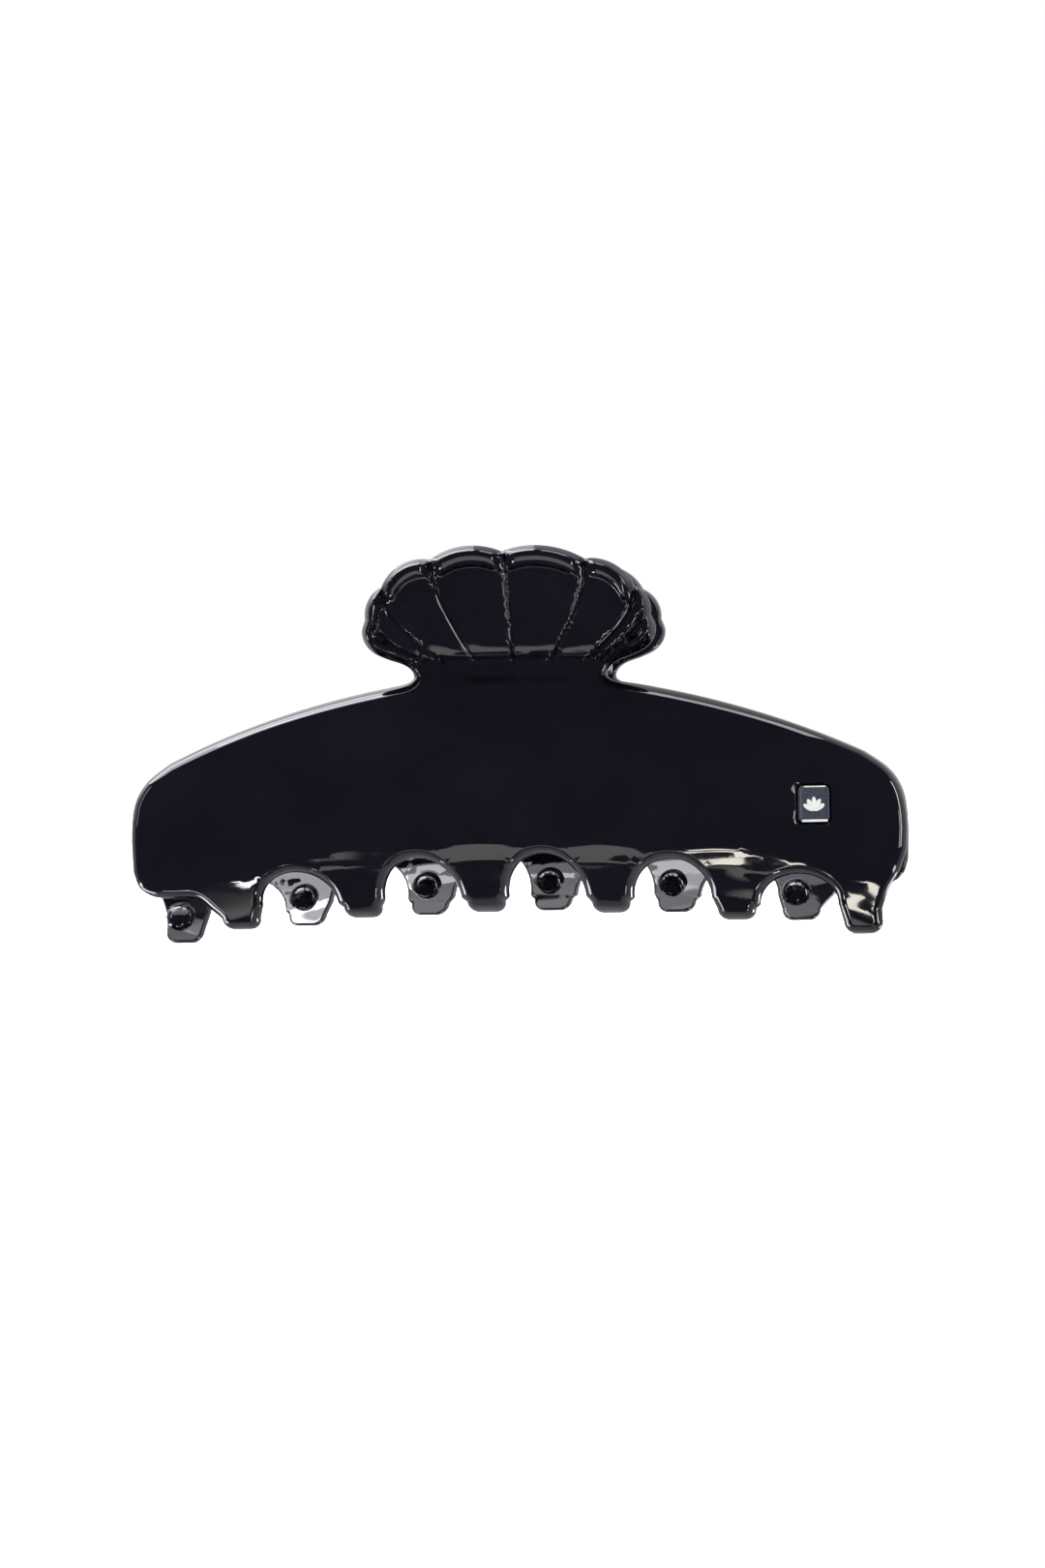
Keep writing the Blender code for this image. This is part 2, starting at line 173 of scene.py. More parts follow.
BADGE_X = 41.5 * MM
BADGE_Z = 18.2 * MM
BADGE_WIDTH = 4.4 * MM
BADGE_HEIGHT = 5.1 * MM
BADGE_CORNER = 0.8 * MM
BADGE_THICKNESS = 0.6 * MM
BADGE_EDGE = 0.14 * MM
FIELD_DEPTH = 0.1 * MM
FIELD_START = (0.32 * MM, 0.5 * MM)  # distances in from the edge over which the field sinks
POCKET_CLEARANCE = 0.12 * MM
POCKET_DEPTH = 0.9 * MM
POCKET_BEVEL = 0.3 * MM
POCKET_TAPER = 0.04 * MM  # how much narrower the pocket is all round at its floor

# The mark on the badge, in millimetres: a fan of petals between two bars.
BARS = ((2.38, 3.1, 0.16), (-2.3, 3.6, 0.32))  # place up the badge, width and height
BAR_THICKNESS = 0.08
BAR_ASIDE = 0.1
PETAL_SIZE = (0.36, 0.95, 0.16)  # half the middle petal's width, length and thickness
PETAL_SHORTENING = 0.05
FAN_ROOT = (0, -0.9, -0.1)
FAN_STEP = math.radians(30)


# ---------------------------------------------------------------- curves and surfaces


def smooth_step(values, low, high):
    """0 below low, 1 above high, and a smooth rise between."""
    t = np.clip((values - low) / (high - low), 0, 1)
    return t * t * (3 - 2 * t)


def tip_height(x):
    """Height of the lower end of a claw at x."""
    last = CLAW_CENTRES[-1]
    return TIP_RISE * (1 - (x / last) ** 2) + TIP_TILT * (last - x)


def arch_height(x):
    """Height of the top of the arch over a gap at x."""
    return ARCH_Z - ARCH_DROP * x * x


def smooth_value(points, at):
    """Cubic through the points (position, value), for an array of positions."""
    place, value = points.T
    low = np.clip(np.searchsorted(place, at, side="right") - 1, 0, len(place) - 2)
    before, high, after = np.maximum(low - 1, 0), low + 1, np.minimum(low + 2, len(place) - 1)
    span = place[high] - place[low]
    rise_low = (value[high] - value[before]) / (place[high] - place[before])
    rise_high = (value[after] - value[low]) / (place[after] - place[low])
    t = (at - place[low]) / span
    return (
        (1 + 2 * t) * (1 - t) ** 2 * value[low]
        + t * (1 - t) ** 2 * span * rise_low
        + t * t * (3 - 2 * t) * value[high]
        + t * t * (t - 1) * span * rise_high
    )


def wall_depth(x, z):
    """Distance from the mid-plane to the middle of the jaw's wall."""
    level = z + TIP_RISE - tip_height(x)
    over_gaps = np.cos(2 * math.pi * (x - CLAW_OFFSET) / PITCH)
    level = level + WAVE * over_gaps * np.exp(-((level - WAVE_LEVEL) / WAVE_SPREAD) ** 2)
    return smooth_value(PROFILE, level) * (1 - (x / BOWL) ** 2)


def on_wall(places):
    """Points in the middle of the front jaw's wall at (x, z), and the directions out of its front."""
    x, z = np.asarray(places, float).T
    step = 0.05 * MM
    across = (wall_depth(x + step, z) - wall_depth(x - step, z)) / (2 * step)
    upward = (wall_depth(x, z + step) - wall_depth(x, z - step)) / (2 * step)
    outward = np.column_stack((-across, -np.ones_like(x), -upward))
    outward /= np.linalg.norm(outward, axis=1)[:, None]
    return np.column_stack((x, -wall_depth(x, z), z)), outward


def wall_place(x, z):
    """on_wall for one place, as vectors."""
    points, outward = on_wall([(x, z)])
    return Vector(points[0]), Vector(outward[0])


def arc(start, end, bulge, steps):
    """Points from start towards end, short of end, on the arc that rises to the left by bulge."""
    start, end = Vector(start), Vector(end)
    chord = end - start
    radius = (chord.length_squared / 4 + bulge * bulge) / (2 * bulge)
    normal = Vector((-chord.y, chord.x)).normalized()
    centre = (start + end) / 2 + normal * (bulge - radius)
    half = math.asin(chord.length / 2 / radius)
    return [
        centre + Matrix.Rotation(-2 * half * i / steps, 2) @ (start - centre)
        for i in range(steps)
    ]


def smooth_line(points, steps):
    """Points on the smooth line through the given ones, ends included."""
    ends = [points[0]] + list(points) + [points[-1]]
    line = []
    for before, low, high, after in zip(ends, ends[1:], ends[2:], ends[3:]):
        before, low, high, after = (Vector(p) for p in (before, low, high, after))
        for i in range(steps):
            t = i / steps
            bend = 2 * before - 5 * low + 4 * high - after
            twist = 3 * low - before - 3 * high + after
            line.append(low + 0.5 * ((high - before) * t + bend * t * t + twist * t ** 3))
    return line + [Vector(points[-1])]


def in_mm(*pairs):
    return [(x * MM, z * MM) for x, z in pairs]


def claw_tip(x):
    """The rounded lower end of the claw at x, from left to right."""
    bottom = tip_height(x)
    steps = 6
    points = []
    for side, turn in ((-1, math.pi), (1, 1.5 * math.pi)):
        centre = Vector((x + side * (TIP_HALF_WIDTH - TIP_CORNER), bottom + TIP_CORNER))
        for i in range(steps + 1):
            angle = turn + i * math.pi / 2 / steps
            points.append(centre + TIP_CORNER * Vector((math.cos(angle), math.sin(angle))))
    return points


def gap_between_claws(x):
    """The arch over the gap at x, from left to right."""
    steps = 32
    foot = ARCH_FOOT + max(tip_height(x - PITCH / 2), tip_height(x + PITCH / 2))
    rise = arch_height(x) - foot
    points = []
    for i in range(steps + 1):
        angle = math.pi * (1 - i / steps)
        across = ARCH_HALF_WIDTH * math.cos(angle)
        points.append(Vector((x + across, foot + rise * math.sin(angle))))
    return points


def upper_half(cusps):
    """Half of the top edge, drawn at +X, from the end's widest point to the middle of the tab."""
    end = in_mm((54.5, 14.5), (54.3, 17.6), (53.5, 20.6), (51.7, 23.1), (48.5, 25.4))
    neck = in_mm(
        (15.6, 35.6), (14.2, 36.0), (13.5, 36.7), (13.9, 37.75), (15.1, 38.6),
        (17.2, 39.35), (19.1, 40.3), (20.2, 41.6), (20.5, 43.2), (19.9, 44.8),
    )
    points = smooth_line(end, steps=8)[:-1]
    points += arc(end[-1], neck[0], -SHOULDER_BULGE, steps=50)
    points += smooth_line(neck, steps=6)[:-1]
    cusps = in_mm(*cusps)
    for before, after, bulge in zip(cusps, cusps[1:], LOBE_BULGES):
        points += arc(before, after, -bulge * MM, steps=22)
    return points + [Vector(cusps[-1])]


def spaced(points, spacing):
    """The closed line with its long stretches divided into steps of at most spacing."""
    line = []
    for start, end in zip(points, points[1:] + points[:1]):
        count = max(1, math.ceil((end - start).length / spacing))
        line += [start.lerp(end, i / count) for i in range(count)]
    return np.array(line)


def jaw_outline():
    """The front jaw's outline seen from the front, anticlockwise from the -X end's lower corner."""
    lower_left = in_mm(
        (-54.4, 10.2), (-53.6, 8.0), (-51.6, 6.7), (-48.7, 6.4), (-45.6, 6.3), (-44.2, 5.5)
    )
    lower_right = in_mm((50.8, 3.4), (51.8, 6.2), (53.3, 8.8), (54.3, 11.6))
    points = smooth_line(lower_left, steps=6)
    for i, x in enumerate(CLAW_CENTRES):
        points += claw_tip(x)
        if i < CLAWS - 1:
            points += gap_between_claws(x + PITCH / 2)
    points += smooth_line(lower_right, steps=6)
    points += upper_half(RIGHT_CUSPS)
    points += [Vector((-p.x, p.y)) for p in reversed(upper_half(LEFT_CUSPS)[:-1])]
    return spaced(points, 0.5 * MM)


def distances(places, starts, ends):
    """How far each place is from the nearest of the segments from starts to ends."""
    places_at_once = 2000
    along = ends - starts
    lengths = (along ** 2).sum(1)
    found = []
    for part in np.array_split(places, len(places) // places_at_once + 1):
        offset = part[:, None] - starts
        t = np.clip((offset * along).sum(2) / lengths, 0, 1)
        found.append(np.linalg.norm(offset - t[..., None] * along, axis=2).min(1))
    return np.concatenate(found)


def outward_normals(outline):
    """Unit normals in the drawing's plane, pointing out of an anticlockwise outline."""
    along = np.roll(outline, -1, axis=0) - np.roll(outline, 1, axis=0)
    normals = np.column_stack((along[:, 1], -along[:, 0]))
    return normals / np.linalg.norm(normals, axis=1)[:, None]


# ---------------------------------------------------------------- closed plates over a flat net


class Net:
    """Points inside an outline, added in lots that keep their distance from those before them."""

    CELL = 0.5 * MM  # the points are filed in square cells

    def __init__(self, outline):
        self.outline = outline
        self.points = []
        self.edges = []
        self.cells = {}
        self.add(outline, 0.0)

    def cell(self, point):
        return int(point[0] // self.CELL), int(point[1] // self.CELL)

    def crowded(self, point, gap):
        column, row = self.cell(point)
        reach = int(gap // self.CELL) + 1
        for i in range(column - reach, column + reach + 1):
            for j in range(row - reach, row + reach + 1):
                for x, z in self.cells.get((i, j), ()):
                    if (x - point[0]) ** 2 + (z - point[1]) ** 2 < gap * gap:
                        return True
        return False

    def add(self, lot, gap):
        for point in lot:
            if gap and self.crowded(point, gap):
                continue
            self.points.append(point)
            self.cells.setdefault(self.cell(point), []).append(point)

    def add_inside(self, lot, margin, gap):
        """Adds those of the lot that lie inside, at least margin from the outline."""
        lot = lot[inside(lot, self.outline)]
        distance = distances(lot, self.outline, np.roll(self.outline, -1, axis=0))
        self.add(lot[distance >= margin], gap)

    def add_ring(self, ring):
        """Adds a closed line whose edges the triangles keep."""
        first = len(self.points)
        self.add(ring, 0.0)
        self.edges += [(first + i, first + (i + 1) % len(ring)) for i in range(len(ring))]

    def triangles(self):
        """The net's points and triangles. The outline's points come first."""
        count = len(self.outline)
        rim = [(i, (i + 1) % count) for i in range(count)]
        points = [Vector(p) for p in self.points]
        all_triangles, same_place = 0, 0.0001 * MM
        found = delaunay_2d_cdt(points, rim + self.edges, [], all_triangles, same_place, False)
        places = np.array([tuple(p) for p in found[0]])
        triangles = np.array([tuple(f) for f in found[2]])
        return places, triangles[inside(places[triangles].mean(axis=1), self.outline)]


def inside(places, outline):
    """Which of the places lie inside the closed outline."""
    starts, ends = outline, np.roll(outline, -1, axis=0)
    result = np.zeros(len(places), bool)
    for (x0, z0), (x1, z1) in zip(starts, ends):
        if z0 == z1:
            continue
        crosses = (places[:, 1] < z0) != (places[:, 1] < z1)
        result ^= crosses & (places[:, 0] < x0 + (places[:, 1] - z0) * (x1 - x0) / (z1 - z0))
    return result


def plate(name, net, drawing, faces):
    """A closed plate over the net, with smooth normals taken from its exact shape.

    faces gives the places of the front and the back face over places in the drawing, and they
    meet at the outline. drawing holds the directions of the drawing's two axes.
    """
    places, triangles = net.triangles()
    on_rim = len(net.outline)
    step = 0.01 * MM
    here, right, up = (faces(places + shift) for shift in ((0, 0), (step, 0), (0, step)))
    normals = []
    for side, turn in ((0, 1), (1, -1)):
        facing = turn * np.cross(right[side] - here[side], up[side] - here[side])
        normals.append(facing / np.linalg.norm(facing, axis=1)[:, None])
    rim_normals = outward_normals(net.outline) @ np.array(drawing)

    verts = np.concatenate((here[0], here[1][on_rim:]))
    normals = np.concatenate((rim_normals, normals[0][on_rim:], normals[1][on_rim:]))
    behind = np.where(triangles < on_rim, triangles, triangles + len(places) - on_rim)[:, ::-1]
    mesh = bpy.data.meshes.new(name)
    mesh.from_pydata(verts.tolist(), [], np.concatenate((triangles, behind)).tolist())
    mesh.shade_smooth()
    mesh.normals_split_custom_set_from_vertices(normals.tolist())
    return mesh


# ---------------------------------------------------------------- jaws


OUTLINE = jaw_outline()
OUTLINE_NEXT = np.roll(OUTLINE, -1, axis=0)
GROOVE_LINES = [np.array([tuple(p) for p in smooth_line(in_mm(*g), 8)]) for g in GROOVES]
GROOVE_STARTS = np.concatenate([line[:-1] for line in GROOVE_LINES])
GROOVE_ENDS = np.concatenate([line[1:] for line in GROOVE_LINES])


def rim_width(z):
    """The tab rim's width at a height."""
    low, high = RIM_WIDTH
    return low + (high - low) * smooth_step(z, *RIM_WIDENS)


def edge_rounding(from_edge, width=EDGE_ROUND):
    """How far a face of the wall stands off its middle at a distance from its edge."""
    return WALL / 2 * np.sqrt(1 - (1 - np.clip(from_edge / width, 0, 1)) ** EDGE_POWER)


def tab_relief(places, from_edge):
    """How far the finger tab's front stands out: the lobed rim, the petals and the grooves."""
    x, z = places.T
    from_groove = distances(places, GROOVE_STARTS, GROOVE_ENDS)
    up_bead = np.clip(from_edge / BEAD_BEVEL, 0, 1)
    down_bead = np.clip((from_edge - BEAD_BEVEL) / (rim_width(z) - BEAD_BEVEL), 0, 1)
    rim = (WALL / 2 + RIM_RISE) * (BEAD_SLOPE * up_bead - (BEAD_SLOPE - 1) * up_bead ** 3)
    rim -= edge_rounding(from_edge)
    rim -= RIM_RISE * (1 - np.sqrt(1 - down_bead ** 2))
    rim *= 1 - np.exp(-(from_groove / LOBE_END) ** 2)
    petal = PETAL_RISE + FLUTE_RISE * (1 - np.exp(-(from_groove / FLUTE_ROUND) ** 2))
    below_rim = np.clip((from_edge - rim_width(z)) / PETAL_LIFT_WIDTH, 0, 1)
    petal += PETAL_LIFT * (1 - below_rim) ** 2
    cut = GROOVE_DEPTH * np.clip(1 - from_groove / GROOVE_HALF_WIDTH, 0, 1)
    raised = smooth_step(z, *RELIEF_START) * (rim + petal)
    cut *= smooth_step(z, *GROOVES_START)
    cut += TAB_THINNING * smooth_step(z, *TAB_THINS) * up_bead
    return np.where(np.abs(x) < RELIEF_HALF_WIDTH, raised - cut, 0.0)


def nub_centres():
    """The places of the nubs' centres, inside the wall, and how deep they lie."""
    places = np.array([(x + NUB_ASIDE, tip_height(x) + NUB_HEIGHT) for x in CLAW_CENTRES])
    points, outward = on_wall(places)
    centres = points - outward * (WALL / 2 - NUB_SINK)
    return centres[:, [0, 2]], centres[:, 1]


def badge_frame():
    """The badge's place: X across it, Y up it and Z out of the wall's front face."""
    point, outward = wall_place(BADGE_X, BADGE_Z)
    across = Vector((0, 0, 1)).cross(outward).normalized()
    up = outward.cross(across)
    placed = Matrix((across, up, outward)).transposed().to_4x4()
    placed.translation = point + outward * WALL / 2
    return placed


def outside_rectangle(across, up, width, height, corner):
    """Distance outside a rounded rectangle, less than zero inside it."""
    x = np.abs(across) - width / 2 + corner
    z = np.abs(up) - height / 2 + corner
    outer = np.hypot(np.clip(x, 0, None), np.clip(z, 0, None))
    return outer + np.minimum(np.maximum(x, z), 0) - corner


def badge_pocket(points):
    """Depth of the badge's pocket, whose mouth is bevelled."""
    placed = np.array(badge_frame().inverted())
    across, up = (points @ placed[:2, :3].T + placed[:2, 3]).T
    gap = outside_rectangle(
        across, up, BADGE_WIDTH + 2 * POCKET_CLEARANCE, BADGE_HEIGHT + 2 * POCKET_CLEARANCE,
        BADGE_CORNER,
    )
    bevel = np.clip(POCKET_BEVEL - gap, 0, POCKET_BEVEL)
    down_wall = np.clip(-gap / POCKET_TAPER, 0, 1)
    return np.where(gap > 0, bevel, POCKET_BEVEL + (POCKET_DEPTH - POCKET_BEVEL) * down_wall)


def jaw_faces(places):
    """The front jaw's front and back faces over places in its drawing."""
    points, outward = on_wall(places)
    slant = -1 / outward[:, 1]  # how much further through the wall it is along Y than straight
    from_edge = distances(places, OUTLINE, OUTLINE_NEXT)
    rounded = edge_rounding(from_edge)
    front = points.copy()
    front[:, 1] -= slant * WALL / 2
    pocket = badge_pocket(front)
    front[:, 1] += slant * (WALL / 2 - rounded - tab_relief(places, from_edge) + pocket)
    back = points.copy()
    back[:, 1] += slant * edge_rounding(from_edge, BACK_EDGE_ROUND)
    for centre, depth in zip(*nub_centres()):
        around = ((places - centre) ** 2).sum(1)
        ball = depth + np.sqrt(np.clip(NUB_RADIUS ** 2 - around, 0, None))
        back[:, 1] = np.where(around < NUB_RADIUS ** 2, np.maximum(back[:, 1], ball), back[:, 1])
    return front, back


def circle(centre, radius, steps):
    """Places on a circle in the drawing."""
    angles = np.arange(steps) * 2 * math.pi / steps
    return centre + radius * np.column_stack((np.cos(angles), np.sin(angles)))


def rounded_rectangle(width, height, corner):
    """A rounded rectangle round the origin, as the points along its corners."""
    points = []
    for quarter in range(4):
        side = 1 if quarter in (0, 3) else -1
        rise = 1 if quarter < 2 else -1
        for i in range(9):
            angle = math.pi / 2 * (quarter + i / 8)
            points.append(Vector((
                side * (width / 2 - corner) + corner * math.cos(angle),
                rise * (height / 2 - corner) + corner * math.sin(angle),
            )))
    return points


def pocket_ring(gap):
    """The line at a distance outside the badge's pocket, as it is drawn flat."""
    placed = badge_frame()
    wider = 2 * (POCKET_CLEARANCE + gap)
    ring = rounded_rectangle(BADGE_WIDTH + wider, BADGE_HEIGHT + wider, BADGE_CORNER + gap)
    return spaced([(placed @ p.to_3d()).xz for p in ring], 0.4 * MM)


def grid(low, high, pitch):
    """Places in staggered rows between two corners."""
    rows = np.arange(low[1], high[1], pitch * math.sqrt(0.75))
    columns = np.arange(low[0], high[0], pitch)
    return np.array([
        (x + pitch / 2 * (number % 2), z) for number, z in enumerate(rows) for x in columns
    ])


def jaw_net():
    """A net over the jaw, with lines of points wherever its faces bend sharply."""
    net = Net(OUTLINE)
    for centre in nub_centres()[0]:
        net.add([centre], gap=0.0)
        for share in (0.2, 0.4, 0.58, 0.73, 0.85, 0.93, 0.98, 0.999, 1.03, 1.1):
            net.add_inside(circle(centre, NUB_RADIUS * share, steps=44), 0.05 * MM, gap=0.0)
    for distance in (-POCKET_TAPER, 0.001 * MM):
        net.add_ring(pocket_ring(distance))
    for share in (0.03, 0.5, 0.97, 1.05):
        net.add(pocket_ring(share * POCKET_BEVEL), gap=0.0)
    for line in GROOVE_LINES:
        along = np.gradient(line, axis=0)
        aside = np.column_stack((-along[:, 1], along[:, 0]))
        aside /= np.linalg.norm(aside, axis=1)[:, None]
        for offset in (0.0, 0.5, -0.5, 1.0, -1.0):
            beside = line + aside * offset * GROOVE_HALF_WIDTH
            net.add_inside(beside, margin=0.2 * MM, gap=0.12 * MM)
    inward = -outward_normals(OUTLINE)
    for share in (0.04, 0.1, 0.2, 0.3, 0.4, 0.6, 0.8, 1.0):
        depth = share * EDGE_ROUND
        ring = OUTLINE + inward * depth
        distance = distances(ring, OUTLINE, OUTLINE_NEXT)
        net.add(ring[distance > 0.97 * depth], gap=0.03 * MM)
    tab = np.abs(OUTLINE[:, 0]) < RELIEF_HALF_WIDTH
    tab &= OUTLINE[:, 1] > RELIEF_START[0]
    width = rim_width(OUTLINE[tab, 1])[:, None]
    for share in (0.88, 1.0, 1.1):
        ring = OUTLINE[tab] + inward[tab] * width * share
        net.add_inside(ring, margin=1.5 * MM, gap=0.2 * MM)
    over_tab = grid((-23 * MM, 36 * MM), (23 * MM, 56 * MM), pitch=0.4 * MM)
    net.add_inside(over_tab, margin=0.5 * MM, gap=0.25 * MM)
    over_plate = grid((-HALF_LENGTH, 0), (HALF_LENGTH, 40 * MM), pitch=0.9 * MM)
    net.add_inside(over_plate, margin=1.2 * MM, gap=0.5 * MM)
    return net


def lug_mesh(x):
    """A hinge lug at x: a round eye on the pin with a web that runs into the wall."""
    eye_steps, web_steps = 32, 12
    outline = []
    for i in range(eye_steps + 1):
        angle = math.pi * (0.5 - i / eye_steps)
        outline.append((LUG_RADIUS * math.cos(angle), HINGE_Z + LUG_RADIUS * math.sin(angle)))
    for i in range(web_steps + 1):
        z = HINGE_Z + LUG_REACH * (2 * i / web_steps - 1)
        outline.append((wall_place(x, z)[0].y, z))
    bore = circle((0, HINGE_Z), PIN_RADIUS + PIN_CLEARANCE, steps=40)
    curve = bpy.data.curves.new("lug", "CURVE")
    for loop in (outline, bore):
        spline = curve.splines.new("POLY")
        spline.points.add(len(loop) - 1)
        for slot, point in zip(spline.points, loop):
            slot.co = (*point, 0.0, 1.0)
        spline.use_cyclic_u = True
    curve.dimensions = "2D"
    curve.fill_mode = "BOTH"
    curve.extrude = LUG_THICKNESS / 2
    flat = bpy.data.objects.new("lug", curve)
    bpy.context.scene.collection.objects.link(flat)
    bpy.context.view_layer.update()
    evaluated = flat.evaluated_get(bpy.context.evaluated_depsgraph_get())
    mesh = bpy.data.meshes.new_from_object(evaluated)
    bpy.data.objects.remove(flat)
    stood_up = Matrix(((0, 0, 1, x), (1, 0, 0, 0), (0, 1, 0, 0), (0, 0, 0, 1)))
    mesh.transform(stood_up)
    return mesh


def make_lugs(material):
    """Both lugs of the front jaw as one mesh."""
    work = bmesh.new()
    for x in LUG_X:
        work.from_mesh(lug_mesh(x))
    bmesh.ops.remove_doubles(work, verts=work.verts, dist=0.001 * MM)
    bmesh.ops.recalc_face_normals(work, faces=work.faces)
    mesh = bpy.data.meshes.new("lugs")
    work.to_mesh(mesh)
    work.free()
    mesh.materials.append(material)
    mesh.shade_smooth()
    return mesh


# ---------------------------------------------------------------- badge, pin and spring


def badge_mesh():
    """The plaque: a rounded rim round a sunk field."""
    placed = np.array(badge_frame())

    def faces(places):
        across, up = places.T
        inwards = -outside_rectangle(across, up, BADGE_WIDTH, BADGE_HEIGHT, BADGE_CORNER)
        rounded = np.sqrt(1 - (1 - np.clip(inwards / BADGE_EDGE, 0, 1)) ** 2)
        rounded *= BADGE_THICKNESS / 2
        field = FIELD_DEPTH * smooth_step(inwards, *FIELD_START)
        middle = -BADGE_THICKNESS / 2
        front, back = (
            np.column_stack((places, rise)) @ placed[:3, :3].T + placed[:3, 3]
            for rise in (middle + rounded - field, middle - rounded)
        )
        return front, back

    outline = spaced(rounded_rectangle(BADGE_WIDTH, BADGE_HEIGHT, BADGE_CORNER), 0.15 * MM)
    net = Net(outline)
    inward = -outward_normals(outline)
    for depth in (0.015, 0.04, 0.08, 0.14, 0.22, 0.32, 0.38, 0.44, 0.5):
        net.add(outline + inward * depth * MM, gap=0.02 * MM)
    half = np.array((BADGE_WIDTH, BADGE_HEIGHT)) / 2
    net.add_inside(grid(-half, half, pitch=0.09 * MM), margin=0.55 * MM, gap=0.04 * MM)
    return plate("badge", net, placed[:3, :2].T, faces)


def fan_mesh():
    """A plain fan of five raised petals that spring from one point, between two bars."""
    placed = badge_frame() @ Matrix.Scale(MM, 4)
    work = bmesh.new()
    half_width, half_length, half_thickness = PETAL_SIZE
    root = Matrix.Translation(FAN_ROOT)
    for number in range(-2, 3):
        half = half_length - PETAL_SHORTENING * abs(number)
        lean = Matrix.Rotation(-number * FAN_STEP, 4, "Z")
        middle = Matrix.Translation((0, half, 0))
        size = Matrix.Diagonal((half_width, half, half_thickness, 1.0))
        petal = placed @ root @ lean @ middle @ size
        bmesh.ops.create_icosphere(work, subdivisions=4, radius=1.0, matrix=petal)
    for rise, width, height in BARS:
        size = Matrix.Diagonal((width, height, BAR_THICKNESS, 1.0))
        middle = Matrix.Translation((BAR_ASIDE, rise, 0))
        bar = bmesh.ops.create_cube(work, size=1.0, matrix=placed @ middle @ size)["verts"]
        edges = {edge for vert in bar for edge in vert.link_edges}
        bmesh.ops.bevel(
            work, geom=list(edges), offset=0.03 * MM, segments=3, affect="EDGES", profile=0.5
        )
    mesh = bpy.data.meshes.new("fan")
    work.to_mesh(mesh)
    work.free()
    mesh.shade_smooth()
    return mesh


def turned(name, section, steps):
    """A solid turned round the X axis from its half section of (along, radius)."""
    section = np.array(section)
    angles = np.arange(steps) * 2 * math.pi / steps
    verts = [(section[0, 0], 0, 0)]
    for along, radius in section[1:-1]:
        verts += [(along, radius * math.cos(a), radius * math.sin(a)) for a in angles]
    verts.append((section[-1, 0], 0, 0))
    faces = []
    last = len(verts) - 1
    rings = len(section) - 2
    for i in range(steps):
        j = (i + 1) % steps
        faces.append((0, 1 + i, 1 + j))
        for ring in range(rings - 1):
            a, b = 1 + ring * steps, 1 + (ring + 1) * steps
            faces.append((a + i, b + i, b + j, a + j))
        end = 1 + (rings - 1) * steps
        faces.append((end + i, last, end + j))
    mesh = bpy.data.meshes.new(name)
    mesh.from_pydata(verts, [], faces)
    work = bmesh.new()
    work.from_mesh(mesh)
    bmesh.ops.recalc_face_normals(work, faces=work.faces)
    work.to_mesh(mesh)
    work.free()
    mesh.shade_smooth()
    return mesh


def pin_mesh():
    """The hinge pin: a shank with a domed head at one end and a peened one at the other."""
    low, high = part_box("hinge_pin")
    half = (high.x - low.x) / 2
    head = (high.z - low.z) / 2
    shank = PIN_RADIUS / head
    quarter = [math.pi / 2 * i / 8 for i in range(9)]
    domed = [(0.75 * (1 - math.cos(angle)), math.sin(angle)) for angle in quarter]
    domed += [(0.92, 1), (1, 0.93), (1, shank)]
    peened = [(1, shank), (1, 0.93), (0.9, 1), (0.35, 0.9), (0.12, 0.7)]
    peened += [(0.1, 0.3), (0.2, 0.12), (0.22, 0)]
    section = [(-half + depth * PIN_HEAD, radius * head) for depth, radius in domed]
    section += [(half - depth * PIN_HEAD, radius * head) for depth, radius in peened]
    mesh = turned("hinge_pin_turned", section, steps=48)
    mesh.transform(Matrix.Translation((0, 0, HINGE_Z)))
    mesh.set_sharp_from_angle(angle=math.radians(50))
    return mesh


def spring_path():
    """The wire's middle line from the hinge: the front leg, the coil and the rear leg."""
    leg_steps, steps_per_turn = 12, 40
    rear_leg = []
    for i in range(leg_steps + 1):
        z = LEG_BEND_Z + (LEG_TOP_Z - LEG_BEND_Z) * i / leg_steps
        point, outward = wall_place(COIL_HALF_LENGTH, z)
        inner = point - outward * (WALL / 2 + WIRE_RADIUS + LEG_GAP)
        rear_leg.append(Vector((COIL_HALF_LENGTH, -inner.y, inner.z - HINGE_Z)))
    front_leg = [Vector((-p.x, -p.y, p.z)) for p in reversed(rear_leg)]
    bend = rear_leg[0]
    leaves = math.atan2(bend.z, bend.y) - math.acos(COIL_RADIUS / math.hypot(bend.y, bend.z))
    first = math.pi - leaves
    last = leaves + 2 * math.pi * (COIL_TURNS + 1)
    steps = round((last - first) / (2 * math.pi) * steps_per_turn)
    coil = []
    for i in range(steps + 1):
        angle = first + (last - first) * i / steps
        x = COIL_HALF_LENGTH * (2 * i / steps - 1)
        coil.append(Vector((x, COIL_RADIUS * math.cos(angle), COIL_RADIUS * math.sin(angle))))
    return front_leg + coil + rear_leg


